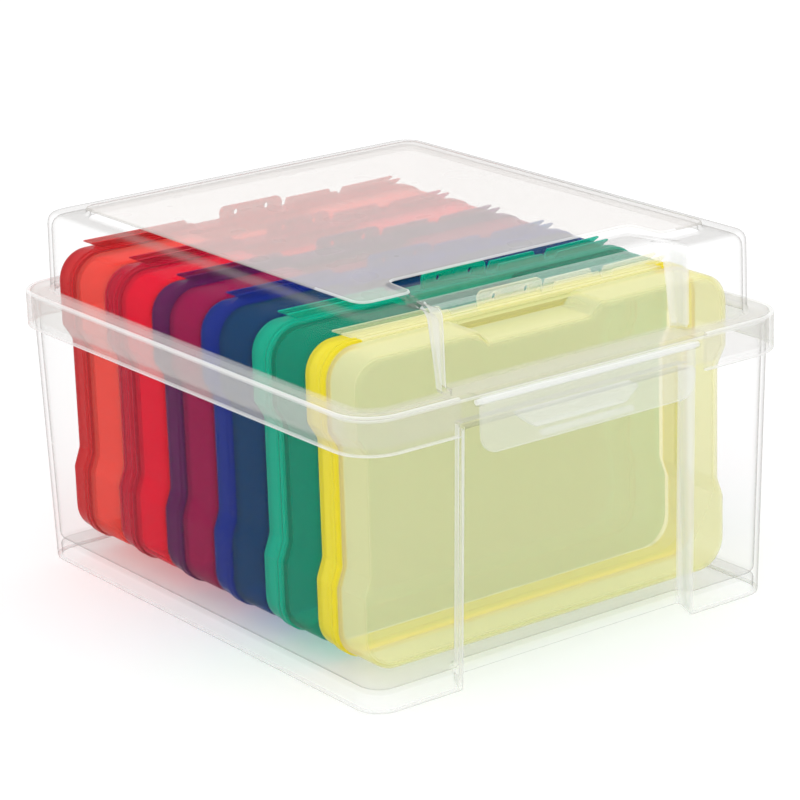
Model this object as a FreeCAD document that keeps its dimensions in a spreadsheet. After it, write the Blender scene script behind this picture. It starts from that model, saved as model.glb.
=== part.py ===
import FreeCAD, Part
import math
import os
import Sketcher

# Photo keeper case: a clear tub with a hinged clear lid, a swinging front latch and six
# coloured inner cases that stand in a row inside it.
# Millimetres, +Z up, +X to the right of the front, -Y out of the front.
# The origin is the middle of the tub's footprint, on the table.

doc = FreeCAD.newDocument("photo_keeper_case")

# Driving sizes
sheet = doc.addObject("Spreadsheet::Sheet", "sizes")
SIZES = [
    ("tub_width", 190.0, "tub, outside, at the table"),
    ("tub_depth", 222.5, "tub, outside, at the table"),
    ("tub_corner", 11.0, "plan radius of the tub's corners at the table"),
    ("tub_flare", 3.15, "how far each side leans out by the rim"),
    ("tub_wall", 1.8, "thickness of the tub's walls and floor"),
    ("rim_height", 110.5, "top of the tub's rim above the table"),
    ("floor_height", 8.0, "top of the tub's floor above the table"),
    ("panel_width", 108.0, "width of the sunken middle of the front"),
    ("panel_sink", 5.5, "how deep the middle of the tub's front is sunk"),
    ("panel_top", 99.4, "top of the tub's sunken panel"),
    ("panel_corner", 3.0, "plan radius in the sunken panel's corners"),
    ("panel_arch", 3.8, "how far the sunken panel's foot is off the table"),
    ("catch_width", 54.0, "width of the catch bar at its top"),
    ("catch_taper", 5.5, "how far each end of the catch bar slants in"),
    ("catch_height", 6.4, "height of the catch bar"),
    ("catch_reach", 5.2, "how far the catch bar stands out of the sunken panel"),
    ("catch_corner", 0.8, "radius of the catch bar's corners"),
    ("band_height", 14.7, "height of the lid's skirt band"),
    ("band_drop", 12.6, "how far the band hangs below the tub's rim"),
    ("band_gap", 0.8, "gap between the rim and the inside of the band"),
    ("band_wall", 1.8, "thickness of the band"),
    ("band_taper", 0.75, "how far the band leans in by its top"),
    ("band_corner", 15.0, "plan radius of the band's corners, inside"),
    ("lid_inset_x", 7.8, "from the band's top edge in to the lid's side wall"),
    ("lid_inset_y", 8.4, "from the band's top edge in to the lid's front wall"),
    ("lid_wall", 1.5, "thickness of the lid's upper walls and top"),
    ("lid_corner", 11.0, "plan radius of the lid's upper corners"),
    ("lid_headroom", 8.3, "from the top of an inner case's tab up to the lid's ceiling"),
    ("lid_draft", 0.4, "how far the lid's walls lean in by the top"),
    ("lid_bevel", 3.0, "rounding of the lid's top edge, drawn as a bevel"),
    ("plateau_rise", 2.8, "height of the raised panel on the lid's top"),
    ("plateau_side", 11.2, "from the lid's side wall in to the raised panel"),
    ("plateau_front", 15.85, "from the lid's front wall in to the raised panel"),
    ("plateau_back", 15.35, "from the lid's back wall in to the raised panel"),
    ("plateau_corner", 6.0, "plan radius of the raised panel's corners"),
    ("notch_width", 112.0, "width of the notch in the raised panel's front"),
    ("notch_depth", 17.0, "how far the notch goes back into the raised panel"),
    ("notch_corner", 3.0, "plan radius of the notch's corners"),
    ("thumb_width", 110.0, "width of the thumb recess in the lid's front"),
    ("thumb_sink_low", 6.4, "depth of the thumb recess at the band"),
    ("thumb_sink_top", 10.6, "depth of the thumb recess at the top"),
    ("thumb_corner", 2.0, "plan radius in the thumb recess's corners"),
    ("latch_width", 100.0, "width of the latch flap"),
    ("latch_height", 19.9, "from the latch's pivot down to its lower edge"),
    ("latch_wall", 1.8, "thickness of the latch flap"),
    ("latch_corner", 7.0, "radius of the latch's lower corners"),
    ("latch_barrel", 1.5, "radius of the bead along the latch's top edge"),
    ("latch_pin", 1.0, "radius of the latch's pivot pins"),
    ("latch_ear", 1.6, "thickness of the lid's ears that hold the latch"),
    ("latch_end_gap", 7.5, "from each end of the latch flap to the end of the band"),
    ("latch_pivot_drop", 0.5, "how far the latch's pivot is below the rim"),
    ("latch_pivot_out", 4.0, "how far the latch's pivot is out from the rim"),
    ("hook_width", 43.0, "width of the latch's hook bead"),
    ("hook_reach", 2.1, "how far the hook bead stands in from the flap"),
    ("hook_height", 2.0, "height of the hook bead"),
    ("hinge_radius", 2.6, "outside radius of the hinge's knuckles"),
    ("hinge_pin", 1.3, "radius of the hinge's pins"),
    ("hinge_out", 3.5, "how far the hinge's axis is behind the tub's wall"),
    ("hinge_drop", 16.3, "how far the hinge's axis is below the rim"),
    ("hinge_spread", 120.0, "from one hinge's middle to the other's"),
    ("hinge_knuckle", 13.4, "width of the lid's knuckle"),
    ("hinge_ear", 4.0, "width of each of the tub's ears"),
    ("hinge_web", 10.0, "height of the webs that carry the knuckles"),
    ("side_play", 0.3, "side clearance of a knuckle or flap in its ears"),
    ("pin_play", 0.08, "radial clearance of a pin in its bore"),
    ("case_side_gap", 7.5, "from the tub's side at the table to an inner case's rim beads"),
    ("case_height", 119.5, "inner case, over its rim beads"),
    ("case_gap", 0.5, "gap between one inner case and the next"),
    ("stack_back_gap", 7.75, "from the tub's back at the table to the rearmost case"),
    ("stack_front_gap", 14.55, "from the tub's front at the table to the foremost case"),
    ("case_corner", 13.0, "radius of an inner case's corners"),
    ("case_wall", 1.3, "thickness of an inner case's walls"),
    ("case_bevel", 2.4, "rounding of a case's front and back edges, drawn as a bevel"),
    ("case_bead", 0.8, "how far the rim beads stand out of the walls"),
    ("bead_width", 2.4, "width of each rim bead"),
    ("back_half_depth", 11.1, "depth of the back half, with its bead"),
    ("parting_gap", 0.2, "gap between the two halves"),
    ("tongue_play", 0.25, "clearance of the front half's tongue in the back half"),
    ("tongue_wall", 0.9, "thickness of the tongue"),
    ("tongue_reach", 2.0, "how far the tongue goes into the back half"),
    ("grip_high_sink", 4.2, "depth of the side grips below the upper sides"),
    ("grip_low_sink", 2.8, "depth of the side grips below the lower sides"),
    ("grip_bend", 4.0, "radius of the bends at the side grips"),
    ("grip_top", 90.0, "height in the case of the top of the side grips"),
    ("grip_bottom", 29.0, "height in the case of the bottom of the side grips"),
    ("grip_slant", 9.0, "height over which a side grip sinks in"),
    ("tab_width", 30.0, "width of the latch tab on an inner case"),
    ("tab_rise", 6.0, "how far the latch tab stands above the case"),
    ("tab_wall", 1.6, "thickness of the latch tab"),
    ("tab_corner", 2.5, "radius of the latch tab's corners"),
    ("tab_hole", 1.3, "radius of the two small holes in the tab"),
    ("tab_hole_spread", 15.0, "from one small hole to the other"),
    ("shoulder_rise", 2.6, "height of the ribs along the case's top"),
    ("shoulder_left", 26.0, "from the middle to where the left top rib starts"),
    ("shoulder_right", 48.0, "from the middle to where the right top rib starts"),
    ("shoulder_end", 72.0, "from the middle to where a top rib ends"),
    ("lug_start", 20.0, "from the middle to the small lug right of the tab"),
    ("lug_end", 45.0, "from the middle to the far end of the small lug"),
    ("shoulder_slope", 5.0, "length of the slope at a top rib's end"),
    ("shoulder_corner", 0.4, "radius at the corners of a top rib"),
    ("dip_width", 46.0, "width of the finger dip in the front half's top"),
    ("dip_sink", 4.5, "depth of the finger dip"),
    ("dip_slope", 5.0, "length of the slope at each end of the finger dip"),
    ("dip_corner", 1.0, "radius at the corners of the finger dip"),
    ("overrun", 5.0, "how far a cutting tool runs past what it cuts"),
]
for row, (alias, amount, meaning) in enumerate(SIZES, start=1):
    sheet.set(f"A{row}", alias)
    sheet.set(f"B{row}", str(amount))
    sheet.set(f"C{row}", meaning)
    sheet.setAlias(f"B{row}", alias)
doc.recompute()

# The inner cases from the back of the tub to its front
CASE_COLOURS = ["red", "crimson", "purple", "blue", "green", "yellow"]
CASE_COUNT = len(CASE_COLOURS)

# The cases share the room that the tub leaves them
CASE_WIDTH = "(tub_width - 2 * case_side_gap)"
STACK_DEPTH = "(tub_depth - stack_back_gap - stack_front_gap + case_gap)"
CASE_DEPTH = f"({STACK_DEPTH} / {CASE_COUNT} - case_gap)"


def cells(text):
    """Turn a sum written with the sheet's aliases into an expression for the document."""
    words = []
    word = ""
    for letter in text + " ":
        if letter.isalnum() or letter in "_.":
            word += letter
            continue
        words.append("sizes." + word if word in ALIASES else word)
        words.append(letter)
        word = ""
    return "".join(words).strip()


ALIASES = {alias for alias, _, _ in SIZES}


def number(text):
    """Work out a sum written with the sheet's aliases."""
    return float(sheet.evalExpression(cells(text)))


def new_body(label):
    body = doc.addObject("PartDesign::Body", label)
    body.Label = label
    return body


def new_sketch(body, name, plane, offset):
    """A sketch on one of the body's own origin planes, moved along that plane's normal."""
    sketch = body.newObject("Sketcher::SketchObject", name)
    origin_plane = next(f for f in body.Origin.OriginFeatures if f.Role == plane)
    sketch.AttachmentSupport = [(origin_plane, "")]
    sketch.MapMode = "FlatFace"
    sketch.setExpression("AttachmentOffset.Base.z", cells(offset))
    return sketch


def bind(sketch, rules):
    """Add dimensions at once, each (constraint kind, what it joins, sum), and tie them to the sheet."""
    made = [Sketcher.Constraint(kind, *joins, number(text)) for kind, joins, text in rules]
    first = sketch.ConstraintCount
    sketch.addConstraint(made)
    for index, (_, _, text) in enumerate(rules, start=first):
        sketch.setExpression(f"Constraints[{index}]", cells(text))


def draw_belt(sketch, corners):
    """A closed outline: round corners, each (x, y, radius, turn), joined by tangent lines.

    x and y are the middle of the corner's arc. turn is 1 for a corner that the outline
    goes round on its outside, walking anticlockwise, and -1 for an inward bend.
    """
    count = len(corners)
    rounds = [(number(x), number(y), number(r), turn) for x, y, r, turn in corners]
    headings = []
    for index in range(count):
        x0, y0, r0, t0 = rounds[index]
        x1, y1, r1, t1 = rounds[(index + 1) % count]
        shift = t1 * r1 - t0 * r0
        run = math.sqrt((x1 - x0) ** 2 + (y1 - y0) ** 2 - shift ** 2)
        headings.append(math.atan2(y1 - y0, x1 - x0) - math.atan2(shift, run))
    ends = []
    for index, (x, y, r, turn) in enumerate(rounds):
        centre = FreeCAD.Vector(x, y, 0)
        leaving = headings[index] - turn * math.pi / 2
        arriving = headings[index - 1] - turn * math.pi / 2
        low, high = (arriving, leaving) if turn > 0 else (leaving, arriving)
        while high < low:
            high += 2 * math.pi
        circle = Part.Circle(centre, FreeCAD.Vector(0, 0, 1), r)
        geometry = sketch.addGeometry(Part.ArcOfCircle(circle, low, high), False)
        first, last = (1, 2) if turn > 0 else (2, 1)
        spots = [centre + FreeCAD.Vector(math.cos(a), math.sin(a), 0) * r for a in (arriving, leaving)]
        ends.append((geometry, first, last, spots))
    touches = []
    for index in range(count):
        here, _, last, spots = ends[index]
        there, first, _, next_spots = ends[(index + 1) % count]
        line = sketch.addGeometry(Part.LineSegment(spots[1], next_spots[0]), False)
        touches.append(Sketcher.Constraint("Tangent", here, last, line, 1))
        touches.append(Sketcher.Constraint("Tangent", line, 2, there, first))
    sketch.addConstraint(touches)
    rules = []
    for (geometry, _, _, _), (x, y, r, _) in zip(ends, corners):
        rules.append(("DistanceX", (-1, 1, geometry, 3), x))
        rules.append(("DistanceY", (-1, 1, geometry, 3), y))
        rules.append(("Radius", (geometry,), r))
    bind(sketch, rules)


def draw_circle(sketch, x, y, radius):
    centre = FreeCAD.Vector(number(x), number(y), 0)
    circle = Part.Circle(centre, FreeCAD.Vector(0, 0, 1), number(radius))
    geometry = sketch.addGeometry(circle, False)
    centred = [("DistanceX", (-1, 1, geometry, 3), x), ("DistanceY", (-1, 1, geometry, 3), y)]
    bind(sketch, centred + [("Radius", (geometry,), radius)])


def pad(body, sketch, length, reversed_way=False):
    feature = body.newObject("PartDesign::Pad", "pad_" + sketch.Name)
    feature.Profile = sketch
    feature.setExpression("Length", cells(length))
    feature.Reversed = reversed_way
    doc.recompute()
    if "Invalid" in feature.State:
        raise RuntimeError(sketch.Name + " adds nothing")
    return feature


def pocket(body, sketch, length, reversed_way=False):
    feature = body.newObject("PartDesign::Pocket", "pocket_" + sketch.Name)
    feature.Profile = sketch
    feature.setExpression("Length", cells(length))
    feature.Reversed = reversed_way
    before = body.Shape.Volume
    doc.recompute()
    if body.Shape.Volume >= before:
        raise RuntimeError(sketch.Name + " cuts nothing")
    return feature


def loft(body, kind, name, low, high, plane="XY_Plane"):
    """Join one kind of outline at two places along a plane's normal. low and high are (place, corners)."""
    sketches = []
    for end, (height, corners) in (("low", low), ("high", high)):
        sketch = new_sketch(body, name + "_" + end, plane, height)
        draw_belt(sketch, corners)
        sketches.append(sketch)
    feature = body.newObject("PartDesign::" + kind, name)
    feature.Profile = sketches[0]
    feature.Sections = [sketches[1]]
    feature.Ruled = True
    doc.recompute()
    if "Invalid" in feature.State:
        raise RuntimeError(name + " does not join")
    return feature


def trapezoid(low_x, low, high_x, high, radius):
    """Corners of a trapezoid that is even about X, from the middles of its right corners' arcs."""
    left = [(f"0 - ({high_x})", high, radius, 1), (f"0 - ({low_x})", low, radius, 1)]
    return [(low_x, low, radius, 1), (high_x, high, radius, 1)] + left


def rectangle(half_x, low_y, high_y, radius):
    """Corners of a rectangle that is even about X, with one radius."""
    x = f"{half_x} - ({radius})"
    low = f"{low_y} + ({radius})"
    high = f"{high_y} - ({radius})"
    return trapezoid(x, low, x, high, radius)


def plan(half_x, half_y, corner, grow):
    """A rounded rectangle about the origin, grown by an even amount round fixed corner centres."""
    x = f"{half_x} - ({corner})"
    y = f"{half_y} - ({corner})"
    radius = f"{corner} + ({grow})"
    signs = [("0 - ", "0 - "), ("", "0 - "), ("", ""), ("0 - ", "")]
    return [(f"{sx}({x})", f"{sy}({y})", radius, 1) for sx, sy in signs]


# The tub's walls lean out evenly from the table to the rim
def tub_lean(height):
    return f"tub_flare * ({height}) / rim_height"


def tub_plan(height, inset):
    return plan("tub_width / 2", "tub_depth / 2", "tub_corner", f"{tub_lean(height)} - ({inset})")


def tub_face(height):
    """How far the tub's front or back wall is from the middle at a height."""
    return f"tub_depth / 2 + {tub_lean(height)}"


HINGE_Y = f"{tub_face('rim_height')} + hinge_out - tub_flare * hinge_drop / rim_height"
HINGE_Z = "rim_height - hinge_drop"
BORE = "hinge_pin + pin_play"


def front_block(height, half_x, outer, inner, radius):
    """Plan of a block in the tub's front wall, from outer to inner, measured in from its face."""
    face = f"0 - ({tub_face(height)})"
    return rectangle(half_x, f"{face} + {outer}", f"{face} + {inner}", radius)


def make_base_tub():
    tub = new_body("base_tub")
    past_rim = "rim_height + overrun"
    underside = "floor_height - tub_wall"
    loft(tub, "AdditiveLoft", "tub_outside", ("0", tub_plan("0", "0")),
         ("rim_height", tub_plan("rim_height", "0")))
    loft(tub, "SubtractiveLoft", "tub_inside", ("floor_height", tub_plan("floor_height", "tub_wall")),
         (past_rim, tub_plan(past_rim, "tub_wall")))
    loft(tub, "SubtractiveLoft", "tub_under", ("0 - overrun", tub_plan("0 - overrun", "tub_wall")),
         (underside, tub_plan(underside, "tub_wall")))
    # Sunken front panel: first its backing inside the wall, then the hollow outside it
    backing_x = "panel_width / 2 + tub_wall"
    ends = [(height, front_block(height, backing_x, "tub_wall / 2", "panel_sink + tub_wall", "tub_wall"))
            for height in ("0", "panel_top + tub_wall")]
    loft(tub, "AdditiveLoft", "panel_backing", ends[0], ends[1])
    ends = [(height, front_block(height, "panel_width / 2", "0 - overrun", "panel_sink", "panel_corner"))
            for height in ("0 - overrun", "panel_top")]
    loft(tub, "SubtractiveLoft", "panel_hollow", ends[0], ends[1])
    arch = new_sketch(tub, "panel_arch_cut", "XY_Plane", "0")
    past_wall = "panel_sink + 2 * tub_wall"
    draw_belt(arch, front_block("0", "panel_width / 2", "0 - overrun", past_wall, "tub_wall"))
    pocket(tub, arch, "panel_arch", True)
    # Catch bar under the land, which the latch's hook snaps below
    catch_face = f"{tub_face('panel_top')} - panel_sink + catch_reach"
    catch = new_sketch(tub, "catch_bar", "XZ_Plane", catch_face)
    top_x = "catch_width / 2 - catch_corner"
    low_x = f"{top_x} - catch_taper"
    top_z = "panel_top - catch_corner"
    low_z = "panel_top - catch_height + catch_corner"
    draw_belt(catch, trapezoid(low_x, low_z, top_x, top_z, "catch_corner"))
    pad(tub, catch, "catch_reach + tub_wall / 2", True)
    # Hinge ears on the back wall
    ear_low = f"{HINGE_Z} - hinge_web"
    for side in (-1, 1):
        for inner in (-1, 1):
            start = f"{side} * hinge_spread / 2 + {inner} * (hinge_knuckle / 2 + side_play)"
            if inner < 0:
                start += " - hinge_ear"
            name = "hinge_ear_" + ("left" if side < 0 else "right") + ("_a" if inner < 0 else "_b")
            ear = new_sketch(tub, name, "YZ_Plane", start)
            root_y = f"{tub_face(ear_low)} - tub_wall / 2"
            draw_belt(ear, [(root_y, ear_low, "tub_wall / 4", 1), (HINGE_Y, HINGE_Z, "hinge_radius", 1),
                            (root_y, f"{HINGE_Z} + hinge_radius / 2", "tub_wall / 4", 1)])
            pad(tub, ear, "hinge_ear")
    bore = new_sketch(tub, "hinge_bore", "YZ_Plane", "0 - tub_width / 2")
    draw_circle(bore, HINGE_Y, HINGE_Z, BORE)
    pocket(tub, bore, "tub_width", True)
    return tub


# The lid's band hangs round the rim, and the upper lid stands in from the band
BAND_LOW = "rim_height - band_drop"
BAND_TOP = "rim_height - band_drop + band_height"
LID_TOP = "floor_height + case_height + tab_rise + lid_headroom + lid_wall"
BAND_X = "tub_width / 2 + tub_flare + band_gap + band_wall"
BAND_Y = "tub_depth / 2 + tub_flare + band_gap + band_wall"
LID_X = f"{BAND_X} - band_taper - lid_inset_x"
LID_Y = f"{BAND_Y} - band_taper - lid_inset_y"
CEILING = f"{LID_TOP} - lid_wall"
LATCH_OPENING = "(latch_width + 2 * latch_end_gap)"
LATCH_Y = f"0 - ({tub_face('rim_height')} + latch_pivot_out)"
LATCH_Z = "rim_height - latch_pivot_drop"


def band_plan(grow):
    return plan(BAND_X, BAND_Y, "band_corner + band_wall", grow)


def lid_plan(grow):
    return plan(LID_X, LID_Y, "lid_corner", grow)


def thumb_plan(half_x, outer, inner, radius):
    """Plan of a block in the lid's front wall, from outer to inner, measured in from its face."""
    face = f"0 - ({LID_Y})"
    return rectangle(half_x, f"{face} + {outer}", f"{face} + {inner}", radius)


def plateau_plan(inset):
    """The raised panel with the notch in its front edge."""
    half_x = f"{LID_X} - plateau_side"
    panel_front = f"plateau_front - ({LID_Y})"
    outer = f"plateau_corner - ({inset})"
    inner = f"notch_corner + ({inset})"
    side_x = f"{half_x} - plateau_corner"
    front_y = f"{panel_front} + plateau_corner"
    back_y = f"{LID_Y} - plateau_back - plateau_corner"
    lip_x = "notch_width / 2 + 2 * notch_corner"
    lip_y = f"{panel_front} + notch_corner"
    dip_y = f"{panel_front} + notch_depth - notch_corner"
    dip_x = "notch_width / 2 - notch_corner"
    lip = f"notch_corner - ({inset})"
    right = [(lip_x, lip_y, lip, 1), (side_x, front_y, outer, 1), (side_x, back_y, outer, 1)]
    left = [(f"0 - ({x})", y, r, turn) for x, y, r, turn in reversed(right)]
    notch = [(f"0 - ({dip_x})", dip_y, inner, -1), (dip_x, dip_y, inner, -1)]
    return right + left + notch


def make_lid():
    lid = new_body("lid")
    wall_top = f"{LID_TOP} - lid_bevel"
    loft(lid, "AdditiveLoft", "band_outside", (BAND_LOW, band_plan("0")),
         (BAND_TOP, band_plan("0 - band_taper")))
    loft(lid, "AdditiveLoft", "lid_walls", (BAND_TOP, lid_plan("0")), (wall_top, lid_plan("0 - lid_draft")))
    loft(lid, "AdditiveLoft", "lid_top_bevel", (wall_top, lid_plan("0 - lid_draft")),
         (LID_TOP, lid_plan("0 - lid_draft - lid_bevel")))
    plateau = new_sketch(lid, "plateau", "XY_Plane", LID_TOP)
    draw_belt(plateau, plateau_plan("0"))
    pad(lid, plateau, "plateau_rise")
    # Hollow of the band, of the walls and of the raised panel
    plate_under = f"{BAND_TOP} - band_wall"
    loft(lid, "SubtractiveLoft", "band_inside", (f"{BAND_LOW} - overrun", band_plan("0 - band_wall")),
         (plate_under, band_plan("0 - band_wall")))
    bevel_under = f"{CEILING} - lid_bevel"
    loft(lid, "SubtractiveLoft", "lid_inside", (f"{BAND_LOW} - overrun", lid_plan("0 - lid_wall")),
         (bevel_under, lid_plan("0 - lid_draft - lid_wall")))
    loft(lid, "SubtractiveLoft", "bevel_inside", (bevel_under, lid_plan("0 - lid_draft - lid_wall")),
         (CEILING, lid_plan("0 - lid_draft - lid_wall - lid_bevel")))
    hollow = new_sketch(lid, "plateau_hollow", "XY_Plane", bevel_under)
    draw_belt(hollow, plateau_plan("lid_wall"))
    pocket(lid, hollow, "lid_bevel + plateau_rise", True)
    # Gap in the band, and the two ears that hold the latch
    gap = new_sketch(lid, "latch_gap", "XY_Plane", f"{BAND_LOW} - overrun")
    rim_face = f"0 - ({tub_face('rim_height')})"
    gap_side = f"{LATCH_OPENING} / 2"
    draw_belt(gap, rectangle(gap_side, f"0 - ({BAND_Y}) - overrun", rim_face, "latch_ear / 2"))
    pocket(lid, gap, "band_height + 2 * overrun", True)
    for side in (-1, 1):
        start = "latch_width / 2 + side_play" if side > 0 else "0 - latch_width / 2 - side_play - latch_ear"
        ear = new_sketch(lid, "latch_ear_" + ("left" if side < 0 else "right"), "YZ_Plane", start)
        root_y = f"{LATCH_Y} + latch_pivot_out + band_wall / 2"
        root_z = f"{BAND_TOP} - band_wall / 3"
        around_pin = (LATCH_Y, LATCH_Z, "latch_barrel + pin_play", 1)
        roots = [(y, root_z, "band_wall / 4", 1) for y in (root_y, LATCH_Y)]
        draw_belt(ear, [around_pin] + roots)
        pad(lid, ear, "latch_ear")
    bore = new_sketch(lid, "latch_bore", "YZ_Plane", f"0 - {gap_side}")
    draw_circle(bore, LATCH_Y, LATCH_Z, "latch_pin + pin_play")
    pocket(lid, bore, LATCH_OPENING, True)
    # Hinge knuckles on the back of the band, each with its two pins
    for side in (-1, 1):
        word = "left" if side < 0 else "right"
        start = f"{side} * hinge_spread / 2 - hinge_knuckle / 2"
        knuckle = new_sketch(lid, "hinge_knuckle_" + word, "YZ_Plane", start)
        root_y = f"{BAND_Y} - band_wall / 2"
        root_heights = [f"{BAND_LOW} + {rise}" for rise in ("hinge_web", "band_wall")]
        roots = [(root_y, root_z, "band_wall / 4", 1) for root_z in root_heights]
        draw_belt(knuckle, roots + [(HINGE_Y, HINGE_Z, "hinge_radius", 1)])
        pad(lid, knuckle, "hinge_knuckle")
        pin = new_sketch(lid, "hinge_pins_" + word, "YZ_Plane", f"{start} - hinge_ear")
        draw_circle(pin, HINGE_Y, HINGE_Z, "hinge_pin")
        pad(lid, pin, "hinge_knuckle + 2 * hinge_ear")
    # Thumb recess in the front: its backing inside the wall, then the hollow outside it
    backing_x = "thumb_width / 2 + lid_wall"
    top_inner = "thumb_sink_top + lid_wall"
    low_backing = thumb_plan(backing_x, "lid_wall / 2", "thumb_sink_low + lid_wall", "lid_wall")
    top_backing = thumb_plan(backing_x, "lid_wall / 2 + lid_draft", top_inner, "lid_wall")
    loft(lid, "AdditiveLoft", "thumb_backing", (plate_under, low_backing), (wall_top, top_backing))
    crown = new_sketch(lid, "thumb_crown", "XY_Plane", wall_top)
    draw_belt(crown, thumb_plan(backing_x, "lid_bevel + lid_draft", top_inner, "lid_wall"))
    pad(lid, crown, "lid_bevel")
    lid_rise = f"({LID_TOP} - ({BAND_TOP}))"
    past_top = f"thumb_sink_top + (thumb_sink_top - thumb_sink_low) * lid_bevel / {lid_rise}"
    low_hollow = thumb_plan("thumb_width / 2", "0 - overrun", "thumb_sink_low", "thumb_corner")
    top_hollow = thumb_plan("thumb_width / 2", "0 - overrun", past_top, "thumb_corner")
    above_lid = f"{LID_TOP} + lid_bevel"
    loft(lid, "SubtractiveLoft", "thumb_hollow", (BAND_TOP, low_hollow), (above_lid, top_hollow))
    return lid


def make_front_latch():
    latch = new_body("front_latch")
    face = f"0 - ({LATCH_Y}) + latch_wall / 2"
    flap = new_sketch(latch, "latch_flap", "XZ_Plane", face)
    low = f"{LATCH_Z} - latch_height + latch_corner"
    side = "latch_width / 2"
    small = "latch_wall / 2"
    lower_x = (f"latch_corner - {side}", f"{side} - latch_corner")
    lower = [(x, low, "latch_corner", 1) for x in lower_x]
    upper = [(x, f"{LATCH_Z} - {small}", small, 1) for x in (f"{side} - {small}", f"{small} - {side}")]
    draw_belt(flap, lower + upper)
    pad(latch, flap, "latch_wall", True)
    barrel = new_sketch(latch, "latch_barrel_bead", "YZ_Plane", f"0 - {side}")
    draw_circle(barrel, LATCH_Y, LATCH_Z, "latch_barrel")
    pad(latch, barrel, "latch_width")
    pins = new_sketch(latch, "latch_pins", "YZ_Plane", f"0 - {side} - side_play - latch_ear")
    draw_circle(pins, LATCH_Y, LATCH_Z, "latch_pin")
    pad(latch, pins, "latch_width + 2 * (side_play + latch_ear)")
    hook = new_sketch(latch, "latch_hook", "YZ_Plane", "0 - hook_width / 2")
    tip = "hook_reach / 4"
    tip_y = f"{LATCH_Y} + latch_wall / 2 + hook_reach - {tip}"
    hook_top = "panel_top - catch_height - side_play"
    top_z = f"{hook_top} - {tip}"
    inner_end = [(tip_y, f"{top_z} - hook_height / 4", tip, 1), (tip_y, top_z, tip, 1)]
    root_end = [(LATCH_Y, top_z, tip, 1), (LATCH_Y, f"{hook_top} - hook_height + {tip}", tip, 1)]
    draw_belt(hook, inner_end + root_end)
    pad(latch, hook, "hook_width")
    return latch


def case_outline(inset):
    """Front view of an inner case: rounded corners and a sunken grip in each short side."""
    corner = f"case_corner - ({inset})"
    out_bend = f"grip_bend - ({inset})"
    in_bend = f"grip_bend + ({inset})"
    side = f"{CASE_WIDTH} / 2"
    low_side = f"{side} - grip_high_sink + grip_low_sink"
    grip = f"{side} - grip_high_sink"
    right = [
        (f"{low_side} - case_corner", "case_corner", corner, 1),
        (f"{low_side} - grip_bend", "grip_bottom", out_bend, 1),
        (f"{grip} + grip_bend", "grip_bottom + grip_slant", in_bend, -1),
        (f"{grip} + grip_bend", "grip_top - grip_slant", in_bend, -1),
        (f"{side} - grip_bend", "grip_top", out_bend, 1),
        (f"{side} - case_corner", "case_height - case_corner", corner, 1),
    ]
    left = [(f"0 - ({x})", z, r, turn) for x, z, r, turn in reversed(right)]
    return right + left


def case_slab(body, name, start, inset):
    """A sketch of the case's outline, start millimetres in front of its back face."""
    sketch = new_sketch(body, name, "XZ_Plane", start)
    draw_belt(sketch, case_outline(inset))
    return sketch


def case_edge(body, name, kind, inner, outer):
    """A bevel round a case's front or back edge. inner and outer are (place, inset)."""
    low, high = [(place, case_outline(inset)) for place, inset in (inner, outer)]
    loft(body, kind, name, low, high, "XZ_Plane")


def top_ribs(body, name, start):
    """Low ribs with sloping ends along the top edge of a case's back half."""
    sketch = new_sketch(body, name, "XZ_Plane", start)
    r = "shoulder_corner"
    foot = "case_height - case_bead - case_wall / 2"
    crest = f"case_height + shoulder_rise - {r}"
    left = [("0 - shoulder_end - shoulder_slope", foot), ("0 - shoulder_left", foot),
            ("0 - shoulder_left - shoulder_slope / 2", crest), ("0 - shoulder_end", crest)]
    right = [("shoulder_right", foot), ("shoulder_end + shoulder_slope", foot),
             ("shoulder_end", crest), ("shoulder_right + shoulder_slope / 2", crest)]
    lug = [("lug_start", foot), ("lug_end", foot),
           ("lug_end - shoulder_slope / 2", crest), ("lug_start + shoulder_slope / 2", crest)]
    for points in (left, right, lug):
        draw_belt(sketch, [(x, z, r, 1) for x, z in points])
    pad(body, sketch, "case_wall")


def make_case_back(colour, place_y):
    back = new_body(colour + "_case_back")
    plain_depth = "back_half_depth - bead_width"
    face_inset = "case_bead + case_bevel"
    case_edge(back, colour + "_back_edge", "AdditiveLoft", ("0", face_inset), ("case_bevel", "case_bead"))
    back_wall = case_slab(back, colour + "_back_wall", "case_bevel", "case_bead")
    pad(back, back_wall, f"{plain_depth} - case_bevel")
    pad(back, case_slab(back, colour + "_back_bead", plain_depth, "0"), "bead_width")
    top_ribs(back, colour + "_wall_ribs", "case_bevel + case_wall / 2")
    top_ribs(back, colour + "_rim_ribs", plain_depth)
    # Latch tab with two small holes, standing up over the finger dip of the front half
    tab = new_sketch(back, colour + "_tab", "XZ_Plane", plain_depth)
    tab_root = "case_height - case_bead - case_wall"
    draw_belt(tab, rectangle("tab_width / 2", tab_root, "case_height + tab_rise", "tab_corner"))
    pad(back, tab, "tab_wall")
    holes = new_sketch(back, colour + "_tab_holes", "XZ_Plane", f"{plain_depth} - overrun")
    for side in (-1, 1):
        draw_circle(holes, f"{side} * tab_hole_spread / 2", "case_height + tab_rise / 2", "tab_hole")
    pocket(back, holes, "2 * overrun + tab_wall", True)
    inner_end = ("case_wall", f"{face_inset} + case_wall / 2")
    inner_start = ("case_bevel + case_wall / 2", "case_bead + case_wall")
    case_edge(back, colour + "_back_inside", "SubtractiveLoft", inner_end, inner_start)
    hollow = case_slab(back, colour + "_back_hollow", *inner_start)
    pocket(back, hollow, "back_half_depth + overrun", True)
    back.setExpression("Placement.Base.y", cells(place_y))
    back.setExpression("Placement.Base.z", cells("floor_height"))
    return back


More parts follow.
